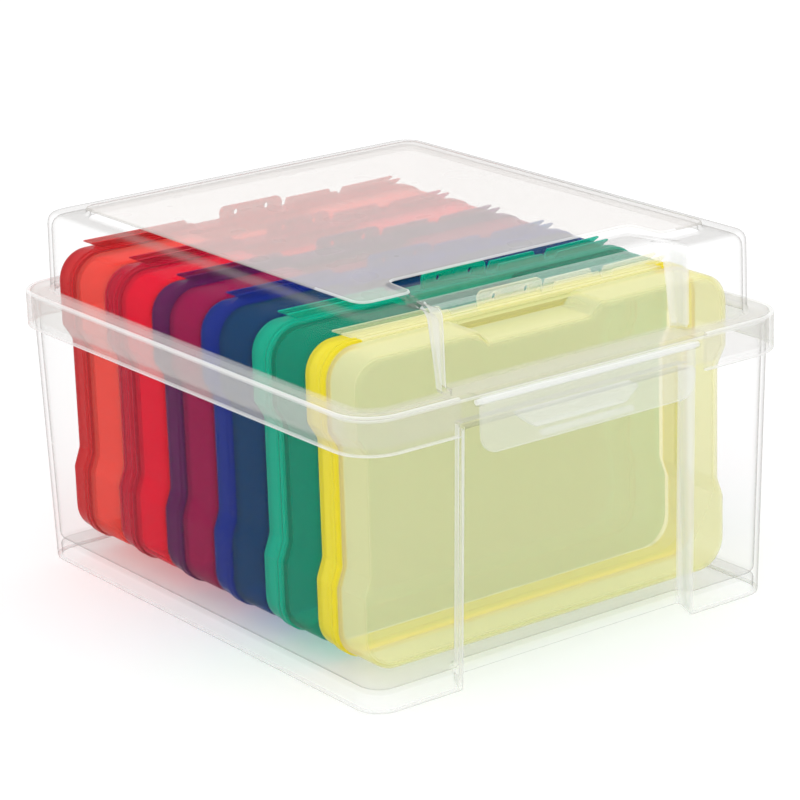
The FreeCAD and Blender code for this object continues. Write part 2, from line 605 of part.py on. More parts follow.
def make_case_front(colour, place_y):
    front = new_body(colour + "_case_front")
    start = "back_half_depth + parting_gap"
    bead_end = f"{start} + bead_width"
    hollow_inset = "case_bead + case_wall"
    tongue_inset = f"{hollow_inset} + tongue_play"
    pad(front, case_slab(front, colour + "_front_bead", start, "0"), "bead_width")
    edge_start = f"{CASE_DEPTH} - case_bevel"
    face_inset = "case_bead + case_bevel"
    front_wall = case_slab(front, colour + "_front_wall", bead_end, "case_bead")
    pad(front, front_wall, f"{edge_start} - ({bead_end})")
    edge = ((edge_start, "case_bead"), (CASE_DEPTH, face_inset))
    case_edge(front, colour + "_front_edge", "AdditiveLoft", *edge)
    inner_start = (f"{edge_start} - case_wall / 2", hollow_inset)
    inner_end = (f"{CASE_DEPTH} - case_wall", f"{face_inset} + case_wall / 2")
    case_edge(front, colour + "_front_inside", "SubtractiveLoft", inner_start, inner_end)
    hollow = case_slab(front, colour + "_front_hollow", *inner_start)
    pocket(front, hollow, f"{edge_start} - case_wall / 2 - ({bead_end})")
    tongue = case_slab(front, colour + "_tongue", f"{start} - tongue_reach", tongue_inset)
    pad(front, tongue, "tongue_reach + bead_width")
    bore_start = f"{bead_end} + tongue_wall"
    bore = case_slab(front, colour + "_tongue_hollow", bore_start, f"{tongue_inset} + tongue_wall")
    pocket(front, bore, "tongue_reach + bead_width + tongue_wall + overrun")
    # Finger dip across the top of the front half: first its lining inside, then the hollow outside it
    r = "dip_corner"
    floor = "case_height - case_bead - dip_sink"
    slant = "dip_slope / dip_sink"
    lining = new_sketch(front, colour + "_dip_lining", "XZ_Plane", f"{bead_end} - case_wall / 2")
    low_z = f"{floor} - case_wall + {r}"
    low_x = f"dip_width / 2 + case_wall - {r}"
    top_z = f"case_height - case_bead - 3 * case_wall / 4 - {r}"
    top_x = f"{low_x} + ({slant}) * (dip_sink + case_wall / 4 - 2 * {r})"
    draw_belt(lining, trapezoid(low_x, low_z, top_x, top_z, r))
    pad(front, lining, f"{CASE_DEPTH} - case_wall / 2 - ({bead_end})")
    dip = new_sketch(front, colour + "_dip", "XZ_Plane", bead_end)
    low_x = f"dip_width / 2 - {r}"
    top_x = f"{low_x} + ({slant}) * (dip_sink + overrun)"
    low_z = f"{floor} + {r}"
    top_z = f"{low_z} + dip_sink + overrun"
    draw_belt(dip, trapezoid(low_x, low_z, top_x, top_z, r))
    pocket(front, dip, f"{CASE_DEPTH} + overrun", True)
    front.setExpression("Placement.Base.y", cells(place_y))
    front.setExpression("Placement.Base.z", cells("floor_height"))
    return front


bodies = [make_base_tub(), make_lid(), make_front_latch()]
for index, case_colour in enumerate(CASE_COLOURS):
    back_y = f"tub_depth / 2 - stack_back_gap - {index} * ({CASE_DEPTH} + case_gap)"
    bodies.append(make_case_back(case_colour, back_y))
    bodies.append(make_case_front(case_colour, back_y))
doc.recompute()

for thing in doc.Objects:
    if "Invalid" in thing.State or "Error" in thing.State:
        raise RuntimeError(thing.Name + " did not compute: " + str(thing.State))
os.makedirs("parts", exist_ok=True)
for body in bodies:
    if body.Shape.isNull() or not body.Shape.isValid() or len(body.Shape.Solids) != 1:
        raise RuntimeError(body.Label + " is not one good solid")
    body.Shape.exportStep(f"parts/{body.Label}.step")
    print(body.Label, round(body.Shape.Volume))
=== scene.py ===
# %% [markdown]
# A photo keeper case: a clear tub with a hinged clear lid, a swinging latch on its front, and six
# coloured inner cases that stand in a row inside. All of it is moulded polypropylene, a plastic
# that lets light through with a slight milkiness. Everything we see is wall behind wall behind
# wall, so the pieces are real closed shells with a real thickness, and light passes through them.
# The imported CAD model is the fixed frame: each new piece stands where a CAD node stands.

# %% Load the frame
import math
import bmesh
import bpy
import numpy as np
from mathutils import Matrix, Vector


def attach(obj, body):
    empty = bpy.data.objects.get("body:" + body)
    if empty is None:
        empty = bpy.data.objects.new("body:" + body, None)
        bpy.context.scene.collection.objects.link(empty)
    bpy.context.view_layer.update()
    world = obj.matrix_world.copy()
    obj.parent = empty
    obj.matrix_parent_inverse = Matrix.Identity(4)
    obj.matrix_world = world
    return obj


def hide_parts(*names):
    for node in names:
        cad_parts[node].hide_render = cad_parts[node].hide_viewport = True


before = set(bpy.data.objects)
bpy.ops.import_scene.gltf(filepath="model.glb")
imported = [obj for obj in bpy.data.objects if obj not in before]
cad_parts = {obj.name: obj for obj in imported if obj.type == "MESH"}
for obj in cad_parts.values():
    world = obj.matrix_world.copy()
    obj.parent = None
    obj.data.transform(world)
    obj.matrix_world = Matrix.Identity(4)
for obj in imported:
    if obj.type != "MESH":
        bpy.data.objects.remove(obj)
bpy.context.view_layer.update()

# %% [markdown]
# The camera was worked out from the edges of the tub and lid in the photograph: where it stands,
# which way it looks and how long its lens is. Angles are in degrees and places in millimetres.

# %% The camera
MM = 0.001
AZIMUTH, ELEVATION, ROLL = math.radians(-36.44), math.radians(17.91), math.radians(-1.81)
DISTANCE, ASIDE, ABOVE, LOOK_HEIGHT = 1298.1, -2.5, 150.14, -86.64
SENSOR, FOCAL_PIXELS, PICTURE_PIXELS = 36.0, 3211.41, 800

back = Vector((math.sin(AZIMUTH) * math.cos(ELEVATION), -math.cos(AZIMUTH) * math.cos(ELEVATION),
               math.sin(ELEVATION)))
level = Vector((math.cos(AZIMUTH), math.sin(AZIMUTH), 0.0))
upright = back.cross(level)
right = level * math.cos(ROLL) + upright * math.sin(ROLL)
up = upright * math.cos(ROLL) - level * math.sin(ROLL)
place = Vector((0.0, 0.0, LOOK_HEIGHT)) + right * ASIDE + up * ABOVE + back * DISTANCE
camera_data = bpy.data.cameras.new("camera")
camera_data.sensor_width = SENSOR
camera_data.lens = FOCAL_PIXELS / PICTURE_PIXELS * SENSOR
camera_data.clip_start = 0.05
camera = bpy.data.objects.new("camera", camera_data)
bpy.context.scene.collection.objects.link(camera)
camera.matrix_world = Matrix.Translation(place * MM) @ Matrix((right, up, back)).transposed().to_4x4()
bpy.context.scene.camera = camera
print("camera at", [round(c, 3) for c in camera.matrix_world.translation])
print("lens", round(camera_data.lens, 1), "mm")

# %% [markdown]
# Stage and light. The photograph is a bright studio shot on white, lit from all round, with only a
# faint shadow at the foot of the tub. A plain white world does most of that, and one broad lamp
# from the upper left gives the shapes a soft side. The floor is light grey paper. Rays that look at
# it, or see it through the plastic or in its gloss, also find a little glow that lifts it to white.

# %% World, lamp and floor
scene = bpy.context.scene
scene.view_settings.view_transform = "Standard"
scene.cycles.max_bounces = 12
scene.cycles.transparent_max_bounces = 160
scene.cycles.diffuse_bounces = 4
scene.cycles.glossy_bounces = 4


def wire(tree, start, start_socket, end, end_socket):
    tree.links.new(start.outputs[start_socket], end.inputs[end_socket])


def looking_rays(tree):
    """A value that is 1 for rays from the camera, in gloss and through plastic, else 0."""
    path = tree.nodes.new("ShaderNodeLightPath")
    total = None
    for ray in ("Is Camera Ray", "Is Glossy Ray", "Is Transmission Ray"):
        if total is None:
            total = path.outputs[ray]
            continue
        add = tree.nodes.new("ShaderNodeMath")
        add.operation = "MAXIMUM"
        tree.links.new(total, add.inputs[0])
        tree.links.new(path.outputs[ray], add.inputs[1])
        total = add.outputs[0]
    return total


world = bpy.data.worlds.new("white_studio")
scene.world = world
world.use_nodes = True
background = world.node_tree.nodes["Background"]
background.inputs["Color"].default_value = (1.0, 1.0, 1.0, 1.0)
background.inputs["Strength"].default_value = 1.0

LAMP_PLACE, LAMP_AIM = (-0.9, -0.7, 1.5), (-0.9, -0.7, 1.45)
LAMP_SIZE, LAMP_POWER = 1.2, 5.0
lamp_data = bpy.data.lights.new("soft_key", "AREA")
lamp_data.size = LAMP_SIZE
lamp_data.energy = LAMP_POWER
lamp = bpy.data.objects.new("soft_key", lamp_data)
scene.collection.objects.link(lamp)
lamp_turn = Vector(LAMP_AIM).to_track_quat("Z", "Y").to_matrix().to_4x4()
lamp.matrix_world = Matrix.Translation(LAMP_PLACE) @ lamp_turn

REACH = 6.0
FLOOR_GREY, FLOOR_GLOW = 0.72, 0.34
floor_mesh = bpy.data.meshes.new("floor")
floor_corners = [(-REACH, -REACH, 0), (REACH, -REACH, 0), (REACH, REACH, 0), (-REACH, REACH, 0)]
floor_mesh.from_pydata(floor_corners, [], [(0, 1, 2, 3)])
floor = bpy.data.objects.new("floor", floor_mesh)
scene.collection.objects.link(floor)
paper = bpy.data.materials.new("white_paper")
paper.use_nodes = True
shader = paper.node_tree.nodes["Principled BSDF"]
shader.inputs["Base Color"].default_value = (FLOOR_GREY, FLOOR_GREY, FLOOR_GREY, 1.0)
shader.inputs["Roughness"].default_value = 0.9
shader.inputs["Specular IOR Level"].default_value = 0.1
shader.inputs["Emission Color"].default_value = (1.0, 1.0, 1.0, 1.0)
glow = paper.node_tree.nodes.new("ShaderNodeMath")
glow.operation = "MULTIPLY"
glow.inputs[1].default_value = FLOOR_GLOW
paper.node_tree.links.new(looking_rays(paper.node_tree), glow.inputs[0])
paper.node_tree.links.new(glow.outputs[0], shader.inputs["Emission Strength"])
floor_mesh.materials.append(paper)
print("floor, lamp and world are set")

# %% [markdown]
# Moulded plastic. Thin walls of polypropylene hardly bend the light that goes through them. They
# throw a little back as a milky veil, more where we look along a face than straight at it. The
# dye of a coloured case also takes colour out of the light, more where the way through the wall
# is longer. So each material is a Principled BSDF whose Alpha rises from its face-on haze to its
# edge-on haze, and the coloured ones add a Volume Absorption that is the dye. The clear plastic has
# none, because it drew a dark line along every edge. Real refraction did the same to the rims, so
# there is none. The dark and light lines that refraction draws along edges are painted instead: the
# clear plastic's veil is a painted dark grey that shows where we look along a face, and rounded
# edges take a whiter plastic as a painted highlight. Most of what the haze scatters goes on
# forwards. It dims the light on its way to the next wall far less than it veils our view, and
# SHADOW_HAZE is that share. The faint unevenness of a moulded face is shared by all the plastics,
# so it is a node group.

# %% The shared group for moulded faces
ROUGHNESS_SPREAD = 1.6
NOISE_LOW, NOISE_HIGH = 0.3, 0.7
WAVE_REACH = 0.0004
moulded = bpy.data.node_groups.new("moulded_face", "ShaderNodeTree")
for name, start_value in (("Wave Size", 60.0), ("Wave Depth", 0.1), ("Smoothness", 0.06)):
    socket = moulded.interface.new_socket(name, in_out="INPUT", socket_type="NodeSocketFloat")
    socket.default_value = start_value
moulded.interface.new_socket("Roughness", in_out="OUTPUT", socket_type="NodeSocketFloat")
moulded.interface.new_socket("Normal", in_out="OUTPUT", socket_type="NodeSocketVector")
given = moulded.nodes.new("NodeGroupInput")
result = moulded.nodes.new("NodeGroupOutput")
spot = moulded.nodes.new("ShaderNodeTexCoord")
waves = moulded.nodes.new("ShaderNodeTexNoise")
waves.inputs["Detail"].default_value = 1.0
bump = moulded.nodes.new("ShaderNodeBump")
bump.inputs["Distance"].default_value = WAVE_REACH
vary = moulded.nodes.new("ShaderNodeMapRange")
vary.inputs["From Min"].default_value = NOISE_LOW
vary.inputs["From Max"].default_value = NOISE_HIGH
widen = moulded.nodes.new("ShaderNodeMath")
widen.operation = "MULTIPLY"
widen.inputs[1].default_value = ROUGHNESS_SPREAD
wire(moulded, spot, "Object", waves, "Vector")
wire(moulded, given, "Wave Size", waves, "Scale")
wire(moulded, given, "Wave Depth", bump, "Strength")
wire(moulded, waves, 0, bump, "Height")
wire(moulded, waves, 0, vary, "Value")
wire(moulded, given, "Smoothness", vary, "To Min")
wire(moulded, given, "Smoothness", widen, 0)
wire(moulded, widen, 0, vary, "To Max")
wire(moulded, vary, "Result", result, "Roughness")
wire(moulded, bump, "Normal", result, "Normal")
print("shared group:", len(moulded.nodes), "nodes")

# %% [markdown]
# Each plastic is one call: its veil, how its haze rises, how smooth it is, and its dye. A case has
# two: a thin-walled one for its two halves, and a deeper one for its rims, where the walls double.

# %% The plastics
PLASTIC_IOR, GLOSS_LEVEL, SHADOW_HAZE = 1.49, 0.04, 0.12


def plastic(name, veil, haze, edge_haze, smoothness, falloff, soak=None, wave_depth=0.02):
    """A see-through moulded plastic.

    veil is the colour that a face throws back. haze and edge_haze are how much of it shows face-on
    and edge-on, and falloff is how late it rises. soak is how strongly the plastic takes red,
    green and blue out of the light, per metre; clear plastic has none.
    """
    material = bpy.data.materials.new(name)
    material.use_nodes = True
    tree = material.node_tree
    shader = tree.nodes["Principled BSDF"]
    shader.inputs["Base Color"].default_value = (*veil, 1.0)
    shader.inputs["IOR"].default_value = PLASTIC_IOR
    shader.inputs["Specular IOR Level"].default_value = GLOSS_LEVEL
    face = tree.nodes.new("ShaderNodeGroup")
    face.node_tree = moulded
    face.inputs["Smoothness"].default_value = smoothness
    face.inputs["Wave Depth"].default_value = wave_depth
    wire(tree, face, "Roughness", shader, "Roughness")
    wire(tree, face, "Normal", shader, "Normal")
    grazing = tree.nodes.new("ShaderNodeLayerWeight")
    grazing.inputs["Blend"].default_value = 0.5
    late = tree.nodes.new("ShaderNodeMath")
    late.operation = "POWER"
    late.inputs[1].default_value = falloff
    amount = tree.nodes.new("ShaderNodeMapRange")
    amount.inputs["To Min"].default_value = haze
    amount.inputs["To Max"].default_value = edge_haze
    forward = tree.nodes.new("ShaderNodeMapRange")
    forward.inputs["To Min"].default_value = 1.0
    forward.inputs["To Max"].default_value = SHADOW_HAZE
    path = tree.nodes.new("ShaderNodeLightPath")
    lighting = tree.nodes.new("ShaderNodeMath")
    lighting.operation = "MAXIMUM"
    veiled = tree.nodes.new("ShaderNodeMath")
    veiled.operation = "MULTIPLY"
    wire(tree, grazing, "Facing", late, 0)
    wire(tree, late, "Value", amount, "Value")
    wire(tree, path, "Is Shadow Ray", lighting, 0)
    wire(tree, path, "Is Diffuse Ray", lighting, 1)
    wire(tree, lighting, "Value", forward, "Value")
    wire(tree, amount, "Result", veiled, 0)
    wire(tree, forward, "Result", veiled, 1)
    wire(tree, veiled, "Value", shader, "Alpha")
    if soak:
        dye = tree.nodes.new("ShaderNodeVolumeAbsorption")
        dye.inputs["Density"].default_value = max(soak)
        dye.inputs["Color"].default_value = (*[1.0 - s / max(soak) for s in soak], 1.0)
        wire(tree, dye, "Volume", tree.nodes["Material Output"], "Volume")
    return material


# The clear plastic's veil is a dark grey. It is painted shade, the grey lines where we look along its
# faces.
CLEAR = plastic("clear_plastic", (0.30, 0.28, 0.26), 0.012, 0.95, 0.06, 5.0)
HAZY = plastic("hazy_plastic", (0.74, 0.72, 0.69), 0.10, 0.75, 0.08, 2.5)
LATCH = plastic("latch_plastic", (0.93, 0.95, 0.94), 0.20, 0.75, 0.12, 3.0)
FROSTED = plastic("frosted_plastic", (0.80, 0.76, 0.73), 0.29, 0.46, 0.25, 3.0, None, 0.0)
# The far side of the raised panel's edge has a darker grey veil: painted shade.
EDGE_SHADE = plastic("panel_edge_painted_shade", (0.58, 0.56, 0.52), 0.30, 0.95, 0.12, 1.5)
# The round brow under the panel's notch gets whiter plastic, a painted highlight along its curve.
BROW_HIGHLIGHT = plastic("brow_highlight_plastic", (0.93, 0.93, 0.90), 0.20, 0.75, 0.12, 3.0)
BEAD = plastic("bead_plastic", (0.93, 0.95, 0.94), 0.18, 0.36, 0.15, 2.0)
# Whiter and hazier. On rounded edges it is a painted highlight, and the latch pins are made wholly of it.
MILKY_HIGHLIGHT = plastic("milky_highlight_plastic", (0.95, 0.95, 0.94), 0.40, 0.90, 0.15, 2.0)
CASE_COLOURS = {
    # thin wall's veil, rim's veil, soak per metre
    "red": ((0.95, 0.10, 0.075), (0.60, 0.006, 0.015), (4, 430, 480)),
    "crimson": ((0.92, 0.0, 0.05), (0.52, 0.0, 0.035), (8, 1000, 420)),
    "purple": ((0.46, 0.0, 0.11), (0.12, 0.0, 0.10), (120, 700, 220)),
    "blue": ((0.0, 0.075, 0.17), (0.0, 0.025, 0.27), (900, 260, 40)),
    "green": ((0.0, 0.32, 0.21), (0.0, 0.46, 0.31), (900, 40, 90)),
    "yellow": ((1.00, 0.96, 0.66), (0.95, 0.80, 0.03), (1, 4, 80)),
}
THIN_HAZE = {"red": 0.36, "crimson": 0.36, "purple": 0.34, "blue": 0.34, "green": 0.34, "yellow": 0.23}
CASE_PLASTIC = {}
for colour, (thin, rim, soak) in CASE_COLOURS.items():
    CASE_PLASTIC[colour] = (plastic(colour + "_plastic", thin, THIN_HAZE[colour], 0.75, 0.12, 2.0, soak),
                            plastic(colour + "_rim", rim, 0.55, 0.90, 0.10, 2.0, soak))
print("materials:", [material.name for material in bpy.data.materials])

# %% [markdown]
# Nearly every shape here is a rounded outline that changes a little from one height to the next: the
# tub leans out, its front is sunken, its rim is rounded. So we need two tools. The first draws an
# outline of arcs joined by straight runs, always with the same number of points. The second
# joins a pile of such outlines into one closed skin.

# %% Tools: an outline and a skin
SAME_PLACE = 1e-6


def belt(corners, arc_steps, runs):
    """A closed outline. corners are (x, y, radius, turn): turn 1 goes round outside, -1 bends in."""
    count = len(corners)
    headings = []
    for i in range(count):
        x0, y0, r0, t0 = corners[i]
        x1, y1, r1, t1 = corners[(i + 1) % count]
        shift = t1 * r1 - t0 * r0
        run = math.sqrt((x1 - x0) ** 2 + (y1 - y0) ** 2 - shift ** 2)
        headings.append(math.atan2(y1 - y0, x1 - x0) - math.atan2(shift, run))
    arcs = []
    for i, (x, y, radius, turn) in enumerate(corners):
        start = headings[i - 1] - turn * math.pi / 2
        sweep = (headings[i] - headings[i - 1]) % (2 * math.pi)
        if turn < 0:
            sweep -= 2 * math.pi
        angles = [start + sweep * k / arc_steps[i] for k in range(arc_steps[i] + 1)]
        arcs.append(np.array([(x + radius * math.cos(a), y + radius * math.sin(a)) for a in angles]))
    points = []
    for i, arc in enumerate(arcs):
        points.append(arc)
        start, end = arc[-1], arcs[(i + 1) % count][0]
        for k in range(1, runs[i]):
            points.append((start + (end - start) * k / runs[i])[None])
    return np.concatenate(points)


def make_piece(name, points, faces, material):
    """A smooth mesh object from points in millimetres, doubles merged and faces turned outwards."""
    mesh = bpy.data.meshes.new(name)
    mesh.from_pydata([tuple(p) for p in np.asarray(points) * MM], [], faces)
    work = bmesh.new()
    work.from_mesh(mesh)
    bmesh.ops.remove_doubles(work, verts=work.verts, dist=SAME_PLACE)
    bmesh.ops.recalc_face_normals(work, faces=work.faces)
    work.to_mesh(mesh)
    work.free()
    mesh.shade_smooth()
    mesh.materials.append(material)
    piece = bpy.data.objects.new(name, mesh)
    bpy.context.scene.collection.objects.link(piece)
    return piece


def skin_faces(rings, first=0):
    """Faces that join rings of equal length one after the other, with a lid on each end."""
    count = len(rings[0])
    faces = []
    for r in range(len(rings) - 1):
        a, b = first + r * count, first + (r + 1) * count
        faces += [(a + i, a + (i + 1) % count, b + (i + 1) % count, b + i) for i in range(count)]
    last = first + (len(rings) - 1) * count
    faces.append(tuple(range(first, first + count)))
    faces.append(tuple(range(last, last + count)))
    return faces


def shells(name, piles, material):
    """One object of several closed skins, each a pile of outlines."""
    points, faces = [], []
    for rings in piles:
        faces += skin_faces(rings, len(points))
        points.extend(np.concatenate(rings))
    piece = make_piece(name, points, faces, material)
    print(f"{name}: {len(piles)} closed skins, {len(piece.data.polygons)} faces")
    return piece


def skin(name, rings, material):
    return shells(name, [rings], material)


def repaint(piece, material, chosen):
    """Give a second material to the faces that chosen(x, y, z, normal) picks, in millimetres."""
    piece.data.materials.append(material)
    last = len(piece.data.materials) - 1
    picked = 0
    for face in piece.data.polygons:
        if chosen(*(face.center / MM), face.normal):
            face.material_index = last
            picked += 1
    print(f"{piece.name}: {picked} faces in {material.name}")


def at_height(outline, z):
    """An outline laid level at a height, which may differ from point to point."""
    return np.column_stack([outline, np.full(len(outline), z) if np.isscalar(z) else z])


print("the tools for outlines and skins are ready")

# %% [markdown]
# The tub. Its wall leans out evenly from the table to the rim, and the middle of its front is sunk
# with soft steps, except in the collar under the lid. The skin starts in the middle of the floor,
# climbs the inside, rolls over the rim, comes down the outside, and turns up again under the foot.

# %% The tub
TUB_HALF_X, TUB_HALF_Y, TUB_CORNER = 95.0, 111.25, 11.0
RIM, FLARE = 110.5, 3.15
PANEL_HALF, PANEL_SINK, PANEL_STEP, PANEL_TOP, PANEL_ARCH = 54.0, 5.5, 2.2, 99.4, 3.8
PLAN_ARCS = (12, 5, 5, 5, 5, 12, 12, 12)
PLAN_RUNS = (4, 2, 10, 2, 4, 8, 8, 8)
LEAST_BEND = 0.3
MIDDLE_HALF = 75.0


def plan(half_x, half_y, corner, grow, step_x, step_radius, sink):
    """Plan of a rounded box with a sunken middle in its front, grown outwards by grow."""
    x, y = half_x - corner, half_y - corner
    face = -half_y - grow
    wall, sunk_y = step_x - grow, face + sink
    outside, inside = max(step_radius + grow, LEAST_BEND), max(step_radius - grow, LEAST_BEND)
    front = [(-wall - outside, face + outside, outside, 1), (-wall + inside, sunk_y - inside, inside, -1),
             (wall - inside, sunk_y - inside, inside, -1), (wall + outside, face + outside, outside, 1)]
    radius = corner + grow
    around = [(x, -y, radius, 1), (x, y, radius, 1), (-x, y, radius, 1)]
    return belt([(-x, -y, radius, 1)] + front + around, PLAN_ARCS, PLAN_RUNS), face


def flatten(outline, face, keep):
    """Bring the sunken middle of a plan back towards its face; keep is the share of depth that stays."""
    flat = outline.copy()
    middle = (np.abs(flat[:, 0]) < MIDDLE_HALF) & (flat[:, 1] < 0.0)
    flat[middle, 1] = face + (flat[middle, 1] - face) * keep
    return flat


def tub_ring(z, inset, sunk=1.0, arch=0.0):
    """One outline of the tub. sunk is the share of the panel's depth, arch of its foot's lift."""
    grow = FLARE * z / RIM - inset
    outline, face = plan(TUB_HALF_X, TUB_HALF_Y, TUB_CORNER, grow, PANEL_HALF, PANEL_STEP, PANEL_SINK)
    if sunk < 1.0:
        outline = flatten(outline, face, sunk)
    depth = np.clip((outline[:, 1] - face) / PANEL_SINK, 0.0, 1.0)
    in_front = (np.abs(outline[:, 0]) < PANEL_HALF + 4.0) & (outline[:, 1] < -80.0)
    raised = np.where(in_front, depth, 0.0)
    return at_height(outline, z + PANEL_ARCH * arch * raised)


TUB_PROFILE = [
    # height, inset, sunk, arch
    # the floor, and the inside up to the rim
    (8.0, 9.0, 1, 0), (8.0, 4.6, 1, 0), (8.15, 3.4, 1, 0), (8.7, 2.4, 1, 0), (9.6, 1.9, 1, 0),
    (10.8, 1.8, 1, 0), (60.0, 1.8, 1, 0), (99.8, 1.8, 1, 0), (100.8, 1.8, 0.97, 0),
    (101.3, 1.8, 0.05, 0), (102.0, 1.8, 0, 0), (109.7, 1.8, 0, 0),
    # over the rim
    (110.2, 1.65, 0, 0), (110.45, 1.3, 0, 0), (110.5, 0.9, 0, 0), (110.45, 0.5, 0, 0),
    (110.2, 0.15, 0, 0), (109.7, 0.0, 0, 0),
    # the outside down to the table
    (100.2, 0.0, 0, 0), (99.6, 0.0, 0.05, 0), (99.2, 0.0, 0.95, 0), (98.2, 0.0, 1, 0),
    (60.0, 0.0, 1, 0), (1.0, 0.0, 1, 1), (0.3, 0.12, 1, 1), (0.05, 0.5, 1, 1), (0.0, 0.9, 1, 1),
    # round the foot and up to the floor's underside
    (0.05, 1.3, 1, 1), (0.3, 1.65, 1, 1), (1.0, 1.8, 1, 0.9), (5.4, 1.8, 1, 0), (5.9, 2.0, 1, 0),
    (6.15, 2.5, 1, 0), (6.2, 3.4, 1, 0), (6.2, 8.0, 1, 0),
]
tub = skin("tub_shell", [tub_ring(*row) for row in TUB_PROFILE], CLEAR)


def highlight_on_tub(x, y, z, normal):
    """The rim, the foot and the steps beside the sunken panel take a whiter plastic, a painted highlight
    along their rounded edges.
    """
    step = abs(abs(x) - PANEL_HALF) < 2.4 and y < -100.0 and abs(normal.x) > 0.3 and z < 100.0
    return z > RIM - 0.9 or z < 1.1 or step


def hazy_on_tub(x, y, z, normal):
    """The collar behind the skirt band."""
    return z > PANEL_TOP + 0.6


repaint(tub, HAZY, hazy_on_tub)
repaint(tub, MILKY_HIGHLIGHT, highlight_on_tub)
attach(tub, "tub")
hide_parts("base_tub")

# %% [markdown]
# Small solid shapes, such as the catch bar, hinge ears and latch, are a flat outline pushed through a
# thickness, with their edges rounded over. One more tool makes them all: it lays the outline
# upright, facing the front or facing a side. The catch bar below the latch is the first of them.

# %% Tool: a rounded plate
ROUND_EDGE = [(0.0, 1.0), (0.08, 0.62), (0.3, 0.3), (0.62, 0.08), (1.0, 0.0)]
FLAT_RING = 0.6


def plate(outline_at, start, end, edge, turn):
    """The rings of a plate. outline_at(inset) is its outline, start and end its two sides.

    edge is the radius of its rounded edges. turn lays (a, b, depth) out as (x, y, z).
    """
    rings = []
    for side, way in ((start, 1), (end, -1)):
        rows = [(side, edge + FLAT_RING)]
        rows += [(side + way * depth * edge, inset * edge) for depth, inset in ROUND_EDGE]
        rows = rows if way > 0 else rows[::-1]
        rings += [turn(outline_at(inset), depth) for depth, inset in rows]
    return rings


def lay_xz(outline, depth):
    """Upright, facing the front."""
    return np.column_stack([outline[:, 0], np.full(len(outline), depth), outline[:, 1]])


def lay_yz(outline, depth):
    """Upright, facing a side."""
    return np.column_stack([np.full(len(outline), depth), outline])


def even_belt(corners, steps=6, run=2):
    """An outline tool for plates: an outline whose corner radii shrink as it is inset."""
    def outline_at(inset):
        shrunk = [(x, y, max(r - inset, 0.02) if t > 0 else r + inset, t) for x, y, r, t in corners]
        return belt(shrunk, [steps] * len(corners), [run] * len(corners))
    return outline_at


CATCH_TOP, CATCH_LOW = 99.3, 93.0
catch_outline = even_belt([(-20.5, CATCH_LOW + 1.0, 1.0, 1), (20.5, CATCH_LOW + 1.0, 1.0, 1),
                           (26.0, CATCH_TOP - 1.0, 1.0, 1), (-26.0, CATCH_TOP - 1.0, 1.0, 1)])
catch = skin("catch_bar", plate(catch_outline, -113.8, -108.2, 0.6, lay_xz), LATCH)
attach(catch, "tub")

# %% [markdown]
# The lid's upper part. Seen from outside it is a rounded box standing on a flange, with a thumb recess
# in its front wall and a raised frosted panel on top, notched above the recess. The skin starts under
# the panel, comes down the inside of the wall, runs out under the flange and back over it, then
# climbs the outside to the top. The panel gets its own frosted material.

# %% The lid
LID_HALF_X, LID_HALF_Y, LID_CORNER = 92.2, 107.85, 11.0
FLANGE_TOP, BORDER, LID_WALL = 112.6, 143.3, 1.5
FLANGE_PLAN = (100.75, 117.0, 16.8)
FLANGE_STEP, FLANGE_SINK = 2.2, 6.0
THUMB_HALF, THUMB_LOW, THUMB_HIGH, THUMB_STEP, BROW = 55.5, 6.4, 10.6, 2.4, 7.0


def lid_ring(z, inset, inner=0.0):
    """One outline of the lid's walls. inner is the wall's thickness where it is an inside outline."""
    share = min(max((z - FLANGE_TOP) / (BORDER - FLANGE_TOP), 0.0), 1.0)
    sink = THUMB_LOW + (THUMB_HIGH - THUMB_LOW) * share
    outline, face = plan(LID_HALF_X, LID_HALF_Y, LID_CORNER, -inset, THUMB_HALF, THUMB_STEP, sink)
    climb = min(max(z + inner - BORDER + BROW, 0.0), BROW)
    sunken = (np.abs(outline[:, 0]) < MIDDLE_HALF) & (outline[:, 1] < 0.0)
    share = np.clip((outline[sunken, 1] - face) / sink, 0.0, 1.0)
    outline[sunken, 1] += share * (BROW - math.sqrt(BROW ** 2 - climb ** 2))
    return at_height(outline, z)


def flange_ring(z, inset):
    """One outline of the flange that carries the band; its front is straight."""
    outline, face = plan(*FLANGE_PLAN, -inset, THUMB_HALF, FLANGE_STEP, FLANGE_SINK)
    return at_height(flatten(outline, face, 0.0), z)


def panel_ring(z, inset):
    """The raised panel's outline, with its notch, in the same number of points as the walls."""
    side_x, front_y, back_y = 75.0, -86.0, 86.5
    outer, lip, hollow = 6.0 - inset, 4.5 - inset, 3.5 + inset
    lip_x, lip_y, hollow_x, hollow_y = 61.5, -87.5, 53.0, -78.5
    corners = [(-side_x, front_y, outer, 1), (-lip_x, lip_y, lip, 1), (-hollow_x, hollow_y, hollow, -1),
               (hollow_x, hollow_y, hollow, -1), (lip_x, lip_y, lip, 1), (side_x, front_y, outer, 1),
               (side_x, back_y, outer, 1), (-side_x, back_y, outer, 1)]
    return at_height(belt(corners, PLAN_ARCS, PLAN_RUNS), z)


